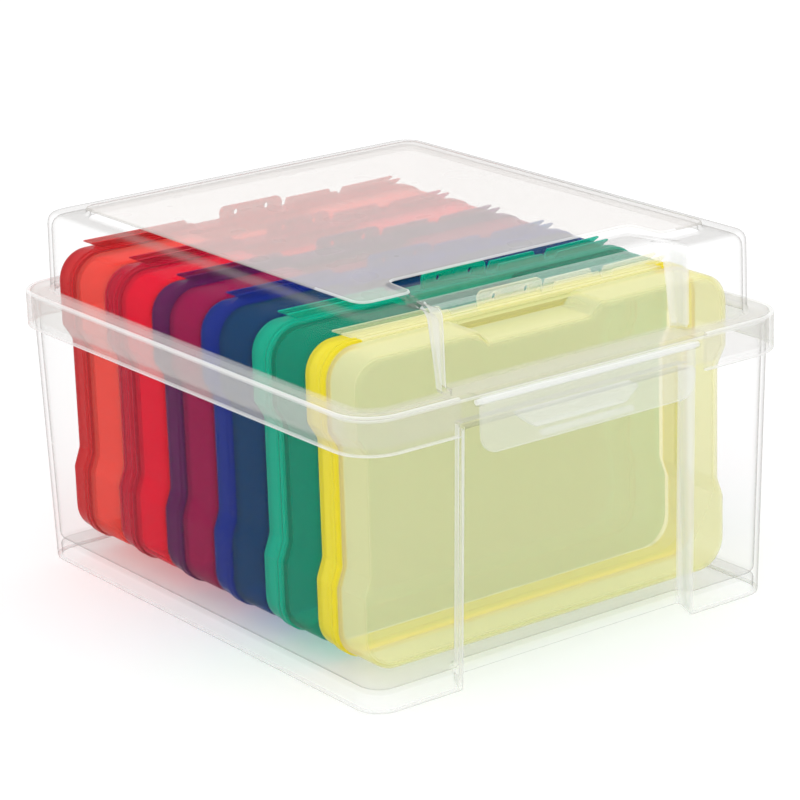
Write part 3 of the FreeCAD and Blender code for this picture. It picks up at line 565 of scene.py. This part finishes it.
LID_PROFILE = [
    # under the raised panel, and out to the inside of the wall
    (panel_ring, 144.6, 3.6), (panel_ring, 144.6, 2.2), (panel_ring, 144.45, 1.75),
    (panel_ring, 144.0, 1.5), (panel_ring, 142.6, 1.4), (panel_ring, 142.0, 1.1),
    (panel_ring, 141.8, 0.4), (panel_ring, 141.8, -0.6),
    # down the inside of the wall
    (lid_ring, 141.8, 6.2, LID_WALL), (lid_ring, 141.7, 5.2, LID_WALL), (lid_ring, 141.2, 4.0, LID_WALL),
    (lid_ring, 140.2, 2.8, LID_WALL), (lid_ring, 138.8, 2.1, LID_WALL), (lid_ring, 137.0, 1.85, LID_WALL),
    (lid_ring, 125.0, 1.65, LID_WALL), (lid_ring, 112.4, 1.5, LID_WALL), (lid_ring, 111.4, 1.3),
    (lid_ring, 110.9, 0.7), (lid_ring, 110.8, -0.2),
    # out under the flange and back over it
    (flange_ring, 110.8, 3.4), (flange_ring, 110.8, 2.4), (flange_ring, 111.0, 1.95),
    (flange_ring, 111.5, 1.8), (flange_ring, 112.0, 1.8), (flange_ring, 112.45, 1.95),
    (flange_ring, 112.6, 2.4), (flange_ring, 112.6, 3.4),
    # up the outside of the wall
    (lid_ring, 112.6, -2.2), (lid_ring, 112.7, -1.2), (lid_ring, 113.1, -0.4), (lid_ring, 113.9, -0.05),
    (lid_ring, 115.0, 0.0), (lid_ring, 127.0, 0.2), (lid_ring, 139.0, 0.38), (lid_ring, 140.6, 0.6),
    (lid_ring, 141.9, 1.15), (lid_ring, 142.8, 2.1), (lid_ring, 143.2, 3.2), (lid_ring, 143.3, 4.4),
    (lid_ring, 143.3, 5.4),
    # over the top and up the raised panel
    (panel_ring, 143.3, -1.5), (panel_ring, 143.35, -0.8), (panel_ring, 143.6, -0.3),
    (panel_ring, 144.1, 0.0), (panel_ring, 145.3, 0.05), (panel_ring, 145.8, 0.3),
    (panel_ring, 146.05, 0.8), (panel_ring, 146.1, 1.5), (panel_ring, 146.1, 3.2),
]
lid = skin("lid_shell", [ring(*sizes) for ring, *sizes in LID_PROFILE], CLEAR)


def frosted_on_lid(x, y, z, normal):
    """The raised panel's two flat faces."""
    return abs(normal.z) > 0.98 and (z > 146.0 or 144.5 < z < 144.7)


def panel_edge(z, normal):
    return 145.2 < z and abs(normal.z) < 0.98


def highlight_on_lid(x, y, z, normal):
    """The sides of the thumb recess and the edge of the raised panel, whiter as a painted highlight."""
    thumb_side = abs(abs(x) - THUMB_HALF) < 3.0 and abs(normal.x) > 0.3 and y < -94.0
    return (thumb_side and 113.5 < z < 142.5) or panel_edge(z, normal)


def on_brow(x, y, z, normal):
    """The round edge under the panel's notch, whiter as a painted highlight."""
    return abs(x) < THUMB_HALF and y < -80.0 and 134.5 < z < 141.0


def far_panel_edge(x, y, z, normal):
    """The back and right of the panel's edge take a darker grey, a painted shade that reads as a thin grey
    line against the white background.
    """
    return panel_edge(z, normal) and (y > -60.0 or x > 66.0)


def hazy_on_lid(x, y, z, normal):
    """The flange that rests over the rim."""
    return z < FLANGE_TOP + 0.6


repaint(lid, FROSTED, frosted_on_lid)
repaint(lid, HAZY, hazy_on_lid)
repaint(lid, BROW_HIGHLIGHT, on_brow)
repaint(lid, MILKY_HIGHLIGHT, highlight_on_lid)
# Painted shade: the far side of the panel's edge turns a darker grey.
repaint(lid, EDGE_SHADE, far_panel_edge)
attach(lid, "lid")
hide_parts("lid")

# %% [markdown]
# The skirt band hangs from the flange round the tub's rim and stops at each side of the latch. It is a
# strip of one section that follows a path, so Geometry Nodes make it: a line along the band is swept
# by a rounded section, and the two ends are closed. Its sizes are the tree's named inputs.

# %% The skirt band
def new_tree(name, inputs):
    tree = bpy.data.node_groups.new(name, "GeometryNodeTree")
    tree.interface.new_socket("Geometry", in_out="INPUT", socket_type="NodeSocketGeometry")
    for label, kind, amount in inputs:
        socket = tree.interface.new_socket(label, in_out="INPUT", socket_type=kind)
        if amount is not None:
            socket.default_value = amount
    tree.interface.new_socket("Geometry", in_out="OUTPUT", socket_type="NodeSocketGeometry")
    return tree, tree.nodes.new("NodeGroupInput"), tree.nodes.new("NodeGroupOutput")


def run_tree(start, tree, values, name):
    """Run a Geometry Nodes tree on an object and return the result as a plain mesh object."""
    modifier = start.modifiers.new(tree.name, "NODES")
    modifier.node_group = tree
    for item in tree.interface.items_tree:
        if item.in_out == "INPUT" and item.name in values:
            modifier[item.identifier] = values[item.name]
    bpy.context.view_layer.update()
    seen = start.evaluated_get(bpy.context.evaluated_depsgraph_get())
    mesh = bpy.data.meshes.new_from_object(seen)
    start.modifiers.remove(modifier)
    bpy.data.objects.remove(start)
    mesh.name = name
    piece = bpy.data.objects.new(name, mesh)
    scene.collection.objects.link(piece)
    mesh.shade_smooth()
    return piece


sweep, given, result = new_tree("swept_band", [
    ("Thickness", "NodeSocketFloat", 0.0018), ("Height", "NodeSocketFloat", 0.0147),
    ("Edge Radius", "NodeSocketFloat", 0.0008), ("Material", "NodeSocketMaterial", None)])
line = sweep.nodes.new("GeometryNodeMeshToCurve")
section = sweep.nodes.new("GeometryNodeCurvePrimitiveQuadrilateral")
soften = sweep.nodes.new("GeometryNodeFilletCurve")
soften.mode = "POLY"
soften.inputs["Count"].default_value = 4
strip = sweep.nodes.new("GeometryNodeCurveToMesh")
strip.inputs["Fill Caps"].default_value = True
paint = sweep.nodes.new("GeometryNodeSetMaterial")
realize = sweep.nodes.new("GeometryNodeRealizeInstances")
wire(sweep, given, "Geometry", line, "Mesh")
wire(sweep, given, "Thickness", section, "Width")
wire(sweep, given, "Height", section, "Height")
wire(sweep, section, "Curve", soften, "Curve")
wire(sweep, given, "Edge Radius", soften, "Radius")
wire(sweep, line, "Curve", strip, "Curve")
wire(sweep, soften, "Curve", strip, "Profile Curve")
wire(sweep, strip, "Mesh", realize, "Geometry")
wire(sweep, realize, "Geometry", paint, "Geometry")
wire(sweep, given, "Material", paint, "Material")
wire(sweep, paint, "Geometry", result, "Geometry")

BAND_LOW, BAND_HEIGHT, BAND_THICK, BAND_EDGE, BAND_LIP, GAP_HALF = 97.9, 14.7, 1.9, 0.7, 0.9, 57.5
band_line, band_face = plan(*FLANGE_PLAN, -BAND_THICK / 2, GAP_HALF, FLANGE_STEP, FLANGE_SINK)
band_line = flatten(band_line, band_face, 0.0)
outside_gap = (np.abs(band_line[:, 0]) > GAP_HALF + 1.0) | (band_line[:, 1] > 0.0)
start_at = int(np.argmax(outside_gap & ~np.roll(outside_gap, 1)))
path = np.roll(band_line, -start_at, axis=0)[: int(outside_gap.sum())]
path = np.vstack([[GAP_HALF, band_face], path, [-GAP_HALF, band_face]])
path_mesh = bpy.data.meshes.new("band_path")
middle_z = BAND_LOW + BAND_HEIGHT / 2
path_mesh.from_pydata([(x * MM, y * MM, middle_z * MM) for x, y in path],
                      [(i, i + 1) for i in range(len(path) - 1)], [])
path_piece = bpy.data.objects.new("band_path", path_mesh)
scene.collection.objects.link(path_piece)
band = run_tree(path_piece, sweep, {"Thickness": BAND_THICK * MM, "Height": BAND_HEIGHT * MM,
                                    "Edge Radius": BAND_EDGE * MM, "Material": HAZY}, "skirt_band")


def band_lips(x, y, z, normal):
    """The band's upper and lower edges."""
    return not BAND_LOW + BAND_LIP < z < BAND_LOW + BAND_HEIGHT - BAND_LIP


# The band's rounded lips turn whiter: a painted highlight.
repaint(band, MILKY_HIGHLIGHT, band_lips)
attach(band, "lid")
print("skirt band:", len(band.data.polygons), "faces, size", [round(c, 4) for c in band.dimensions])

# %% [markdown]
# The latch flap hangs from two small ears of the lid and snaps its bead under the catch bar. It is a
# thin plate with round lower corners, with a barrel along its top edge that turns on two pins.

# %% The latch
LATCH_Y, LATCH_Z = -118.4, 110.0
LATCH_HALF, HOOK_HALF, PIN_HALF = 50.0, 21.5, 51.9
FLAP_FRONT, FLAP_BACK = LATCH_Y - 0.9, LATCH_Y + 0.9


def round_rod(y, z, radius, steps):
    """The outline of a round rod: two arcs with centres a thousandth of a millimetre apart."""
    return even_belt([(y, z, radius, 1), (y + 0.001, z, radius, 1)], steps, 1)


latch_outline = even_belt([(-43.0, 97.1, 7.0, 1), (43.0, 97.1, 7.0, 1),
                           (48.6, LATCH_Z, 1.4, 1), (-48.6, LATCH_Z, 1.4, 1)], 8, 4)
latch = skin("latch_flap", plate(latch_outline, FLAP_FRONT, FLAP_BACK, 0.5, lay_xz), LATCH)
bead_outline = even_belt([(LATCH_Y + 1.0, 91.2, 0.5, 1), (LATCH_Y + 2.6, 91.5, 0.4, 1),
                          (LATCH_Y + 2.6, 92.2, 0.4, 1), (LATCH_Y + 1.0, 92.3, 0.4, 1)], 4, 1)
hook = skin("latch_hook", plate(bead_outline, -HOOK_HALF, HOOK_HALF, 0.3, lay_yz), BEAD)
barrel_outline = round_rod(LATCH_Y, LATCH_Z, 1.5, 12)
barrel = skin("latch_barrel", plate(barrel_outline, -LATCH_HALF, LATCH_HALF, 0.4, lay_yz), BEAD)
pin_line = round_rod(LATCH_Y, LATCH_Z, 1.0, 10)
pins = skin("latch_pins", plate(pin_line, -PIN_HALF, PIN_HALF, 0.2, lay_yz), MILKY_HIGHLIGHT)
for piece in (latch, hook, barrel, pins):
    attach(piece, "latch")
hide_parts("front_latch")

# %% [markdown]
# The latch's ears, the hinge's ears and its knuckles are the same small shapes again and again. So
# each is drawn once, and a Geometry Nodes tree sets copies of it out in equal steps.

# %% Tool: copies in a row
copies, given, result = new_tree("copies_in_a_row", [
    ("Count", "NodeSocketInt", 2), ("Step", "NodeSocketVector", None),
    ("Material", "NodeSocketMaterial", None)])
row = copies.nodes.new("GeometryNodeMeshLine")
spread = copies.nodes.new("GeometryNodeInstanceOnPoints")
realize = copies.nodes.new("GeometryNodeRealizeInstances")
paint = copies.nodes.new("GeometryNodeSetMaterial")
wire(copies, given, "Count", row, "Count")
wire(copies, given, "Step", row, "Offset")
wire(copies, row, "Mesh", spread, "Points")
wire(copies, given, "Geometry", spread, "Instance")
wire(copies, spread, "Instances", realize, "Geometry")
wire(copies, realize, "Geometry", paint, "Geometry")
wire(copies, given, "Material", paint, "Material")
wire(copies, paint, "Geometry", result, "Geometry")


def in_a_row(piece, count, step, material):
    """count copies of a piece, each a step of (x, y, z) millimetres from the last."""
    name = piece.name
    values = {"Count": count, "Step": tuple(s * MM for s in step), "Material": material}
    made = run_tree(piece, copies, values, name + "_row")
    print(made.name, "has", len(made.data.polygons), "faces")
    return made


print("row tool:", len(copies.nodes), "nodes")

# %% [markdown]
# The back hinge doesn't show in the photograph, so it is the common kind: the lid has two knuckles
# with a pin through each, and each pin's ends turn in a pair of the tub's ears. The latch's two
# ears are small webs under the lid's flange.

# %% Hinge and latch ears
HINGE_Y, HINGE_Z, HINGE_SPREAD, KNUCKLE_HALF, EAR_WIDTH, EAR_PLAY = 117.435, 94.2, 120.0, 6.7, 4.0, 0.3
LATCH_EAR, LATCH_EAR_STEP = (-51.9, -50.3), 102.2
ear_outline = even_belt([(112.75, 84.2, 0.45, 1), (HINGE_Y, HINGE_Z, 2.6, 1), (112.75, 95.5, 0.45, 1)])
left_ear = -HINGE_SPREAD / 2 - KNUCKLE_HALF - EAR_PLAY - EAR_WIDTH
right_ear = -HINGE_SPREAD / 2 + KNUCKLE_HALF + EAR_PLAY
ear_plates = [plate(ear_outline, x, x + EAR_WIDTH, 0.3, lay_yz) for x in (left_ear, right_ear)]
ears = shells("hinge_ears", ear_plates, CLEAR)
ears = in_a_row(ears, 2, (HINGE_SPREAD, 0, 0), CLEAR)

knuckle_outline = even_belt([(116.1, 107.9, 0.45, 1), (116.1, 99.7, 0.45, 1), (HINGE_Y, HINGE_Z, 2.6, 1)])
pin_outline = round_rod(HINGE_Y, HINGE_Z, 1.3, 10)
middle = -HINGE_SPREAD / 2
pin_half = KNUCKLE_HALF + EAR_WIDTH
knuckle = plate(knuckle_outline, middle - KNUCKLE_HALF, middle + KNUCKLE_HALF, 0.3, lay_yz)
pin = plate(pin_outline, middle - pin_half, middle + pin_half, 0.2, lay_yz)
knuckles = shells("hinge_knuckles", [knuckle, pin], CLEAR)
knuckles = in_a_row(knuckles, 2, (HINGE_SPREAD, 0, 0), CLEAR)

latch_ear_outline = even_belt([(LATCH_Y, LATCH_Z, 1.58, 1), (LATCH_Y + 4.9, 112.0, 0.45, 1),
                               (LATCH_Y, 112.0, 0.45, 1)])
latch_ears = skin("latch_ears", plate(latch_ear_outline, *LATCH_EAR, 0.2, lay_yz), CLEAR)
latch_ears = in_a_row(latch_ears, 2, (LATCH_EAR_STEP, 0, 0), CLEAR)
for piece, body in ((ears, "tub"), (knuckles, "lid"), (latch_ears, "lid")):
    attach(piece, body)

# %% [markdown]
# The six inner cases are one shape in six colours. Each has a back half and a front half that meet in
# two rim beads. Seen from the front the outline is a tall rounded rectangle with a grip sunk into
# each short side. The front half has a finger dip in its top.

# %% The inner cases
CASE_HALF, CASE_HIGH, CASE_DEPTH, CASE_GAP = 87.5, 119.5, 32.95, 0.5
STACK_BACK, FLOOR = 103.5, 8.0
PITCH = CASE_DEPTH + CASE_GAP
CASE_CORNER, GRIP_BEND, GRIP_SINK, LOW_SIDE_SINK = 13.0, 4.0, 4.2, 1.4
GRIP_HEIGHTS = (29.0, 38.0, 81.0, 90.0)
DIP_DEPTH, DIP_HALF, DIP_SLOPE, DIP_MIDDLE = 4.5, 29.0, 5.0, -3.0
CASE_ARCS = (9, 4, 4, 4, 4, 9, 9, 4, 4, 4, 4, 9)
CASE_RUNS = (2, 1, 2, 1, 2, 70, 2, 1, 2, 1, 2, 12)


def case_outline(inset):
    """Front view of an inner case, walking up its right side, over its top and down its left side."""
    corner, bend = CASE_CORNER, GRIP_BEND
    low_side, side, grip = CASE_HALF - LOW_SIDE_SINK, CASE_HALF, CASE_HALF - GRIP_SINK
    foot, grip_low, grip_high, shoulder = GRIP_HEIGHTS
    right_side = [(low_side - corner, corner, corner - inset, 1), (low_side - bend, foot, bend - inset, 1),
                  (grip + bend, grip_low, bend + inset, -1), (grip + bend, grip_high, bend + inset, -1),
                  (side - bend, shoulder, bend - inset, 1),
                  (side - corner, CASE_HIGH - corner, corner - inset, 1)]
    left_side = [(-x, z, r, t) for x, z, r, t in reversed(right_side)]
    return belt(right_side + left_side, CASE_ARCS, CASE_RUNS)


def finger_dip(x):
    """How much of the finger dip's depth there is at x: 0 beside it, 1 on its floor."""
    share = np.clip((DIP_HALF - np.abs(x - DIP_MIDDLE)) / DIP_SLOPE, 0.0, 1.0)
    return share * share * (3 - 2 * share)


def case_ring(back_y, depth, inset, dip=0.0):
    """One outline of a case, depth in front of its back. dip is the share of the finger dip."""
    outline = case_outline(inset)
    if dip:
        top = outline[:, 1] > CASE_HIGH - 4.0
        outline[top, 1] -= DIP_DEPTH * dip * finger_dip(outline[top, 0])
    outline[:, 1] += FLOOR
    return lay_xz(outline, back_y - depth)


BACK_HALF = [
    # depth, inset
    (1.3, 3.95), (1.3, 3.5), (1.4, 2.9), (1.75, 2.4), (2.4, 2.12), (3.4, 2.1), (10.6, 2.1), (10.95, 1.95),
    (11.1, 1.6), (11.1, 0.5), (10.95, 0.15), (10.6, 0.0), (9.1, 0.0), (8.8, 0.12), (8.62, 0.4), (8.5, 0.75),
    (8.1, 0.8), (3.0, 0.8), (1.6, 0.9), (0.75, 1.3), (0.25, 2.0), (0.03, 2.9), (0.0, 3.5), (0.0, 3.95),
]
FRONT_HALF = [
    # depth, inset, dip
    (31.65, 3.95, 1), (31.65, 3.6, 1), (31.5, 3.1, 1), (31.05, 2.6, 1), (30.25, 2.2, 1), (29.2, 2.1, 1),
    (15.4, 2.1, 1), (14.7, 2.1, 0.9), (14.2, 2.4, 0.1), (13.6, 3.1, 0), (13.0, 3.25, 0), (9.6, 3.25, 0),
    (9.3, 3.05, 0), (9.3, 2.55, 0), (9.6, 2.35, 0), (11.0, 2.35, 0), (11.3, 2.1, 0), (11.3, 0.5, 0),
    (11.4, 0.15, 0), (11.75, 0.0, 0), (13.2, 0.0, 0), (13.55, 0.12, 0), (13.75, 0.4, 0.05),
    (13.95, 0.75, 0.9), (14.4, 0.8, 1), (30.1, 0.8, 1), (31.3, 0.95, 1), (32.1, 1.4, 1), (32.7, 2.2, 1),
    (32.93, 3.0, 1), (32.95, 3.6, 1), (32.95, 3.95, 1),
]
RIM_FROM, RIM_TO = 8.4, 14.0
PALE_FROM, PALE_HALF = FLOOR + 113.0, 70.0


def rim_faces(colour, back_y, half):
    """Which faces of a half take the rim's plastic. The yellow case's top run stays pale."""
    def chosen(x, y, z, normal):
        if colour == "yellow" and z > PALE_FROM and abs(x) < PALE_HALF:
            return False
        depth = back_y - y
        return depth < RIM_TO if half == "front" else depth > RIM_FROM or abs(normal.y) < 0.5
    return chosen


for index, (colour, (thin, rim)) in enumerate(CASE_PLASTIC.items()):
    back_y = STACK_BACK - index * PITCH
    back_half = skin(colour + "_back_half", [case_ring(back_y, *row) for row in BACK_HALF], thin)
    front_half = skin(colour + "_front_half", [case_ring(back_y, *row) for row in FRONT_HALF], thin)
    repaint(back_half, rim, rim_faces(colour, back_y, "back"))
    repaint(front_half, rim, rim_faces(colour, back_y, "front"))
    for piece, node in ((back_half, "_case_back"), (front_half, "_case_front")):
        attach(piece, colour + "_case")
        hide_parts(colour + node)

# %% [markdown]
# Along the top of each case's back half run low ribs with pointed ends, a small lug, and a tab with two
# round holes. The ribs stand twice, on the back edge and on the rim, so the row tool copies them.
# The holes are a job for a Mesh Boolean node: two round rods, a step apart, are taken away.

# %% Ribs, lugs and tabs
punch, given, result = new_tree("punched_plate", [
    ("Hole Radius", "NodeSocketFloat", 0.0013), ("Hole Step", "NodeSocketVector", None),
    ("First Hole", "NodeSocketVector", None), ("Material", "NodeSocketMaterial", None)])
rod = punch.nodes.new("GeometryNodeMeshCylinder")
rod.inputs["Vertices"].default_value = 24
rod.inputs["Depth"].default_value = 0.01
lay = punch.nodes.new("GeometryNodeTransform")
lay.inputs["Rotation"].default_value = (math.pi / 2, 0.0, 0.0)
spots = punch.nodes.new("GeometryNodeMeshLine")
spots.inputs["Count"].default_value = 2
rods = punch.nodes.new("GeometryNodeInstanceOnPoints")
plain_rods = punch.nodes.new("GeometryNodeRealizeInstances")
bite = punch.nodes.new("GeometryNodeMeshBoolean")
bite.operation = "DIFFERENCE"
realize = punch.nodes.new("GeometryNodeRealizeInstances")
paint = punch.nodes.new("GeometryNodeSetMaterial")
wire(punch, given, "Hole Radius", rod, "Radius")
wire(punch, rod, "Mesh", lay, "Geometry")
wire(punch, given, "First Hole", spots, "Start Location")
wire(punch, given, "Hole Step", spots, "Offset")
wire(punch, spots, "Mesh", rods, "Points")
wire(punch, lay, "Geometry", rods, "Instance")
wire(punch, rods, "Instances", plain_rods, "Geometry")
wire(punch, given, "Geometry", bite, "Mesh 1")
wire(punch, plain_rods, "Geometry", bite, "Mesh 2")
wire(punch, bite, "Mesh", realize, "Geometry")
wire(punch, realize, "Geometry", paint, "Geometry")
wire(punch, given, "Material", paint, "Material")
wire(punch, paint, "Geometry", result, "Geometry")

RIB_FOOT, RIB_CREST, RIB_THICK, RIB_PLACES = FLOOR + 118.1, FLOOR + 122.1, 1.3, (3.05, 8.7)
TAB_HALF, TAB_FOOT, TAB_TOP, TAB_THICK, TAB_CORNER = 15.0, FLOOR + 117.4, FLOOR + 125.5, 1.6, 2.5
HOLE_RADIUS, HOLE_SPREAD, HOLE_HEIGHT = 1.3, 15.0, FLOOR + 122.5


def rib(foot_left, foot_right, top_right, top_left, bend):
    """A rib's outline. Each top corner is (x, how far it is under the crest)."""
    return even_belt([(foot_left, RIB_FOOT, 0.4, 1), (foot_right, RIB_FOOT, 0.4, 1),
                      (top_right[0], RIB_CREST - top_right[1], bend[0], 1),
                      (top_left[0], RIB_CREST - top_left[1], bend[1], 1)])


RIB_SHAPES = [
    rib(-68.0, -26.4, (-28.6, 1.0), (-75.5, 0.5), (0.4, 0.3)),
    rib(48.4, 68.0, (75.5, 0.5), (50.6, 1.0), (0.3, 0.4)),
    rib(20.6, 44.4, (42.8, 0.5), (22.2, 0.5), (0.4, 0.4)),
]
tab_x, tab_low, tab_high = TAB_HALF - TAB_CORNER, TAB_FOOT + TAB_CORNER, TAB_TOP - TAB_CORNER
tab_outline = even_belt([(-tab_x, tab_low, TAB_CORNER, 1), (tab_x, tab_low, TAB_CORNER, 1),
                         (tab_x, tab_high, TAB_CORNER, 1), (-tab_x, tab_high, TAB_CORNER, 1)], 8)
for index, (colour, (thin, rim)) in enumerate(CASE_PLASTIC.items()):
    back_rib = STACK_BACK - index * PITCH - RIB_PLACES[0]
    rib_step = RIB_PLACES[0] - RIB_PLACES[1]
    plain = thin if colour == "yellow" else rim
    rib_plates = [plate(shape, back_rib - RIB_THICK, back_rib, 0.25, lay_xz) for shape in RIB_SHAPES]
    ribs = in_a_row(shells(colour + "_ribs", rib_plates, plain), 2, (0, rib_step, 0), plain)
    tab_y = back_rib + rib_step
    tab = skin(colour + "_tab", plate(tab_outline, tab_y - TAB_THICK, tab_y, 0.3, lay_xz), plain)
    first_hole = (-HOLE_SPREAD / 2, tab_y - TAB_THICK / 2, HOLE_HEIGHT)
    holes = {"Hole Radius": HOLE_RADIUS * MM, "Hole Step": (HOLE_SPREAD * MM, 0, 0),
             "First Hole": tuple(c * MM for c in first_hole), "Material": plain}
    tab = run_tree(tab, punch, holes, colour + "_tab")
    for piece in (ribs, tab):
        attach(piece, colour + "_case")
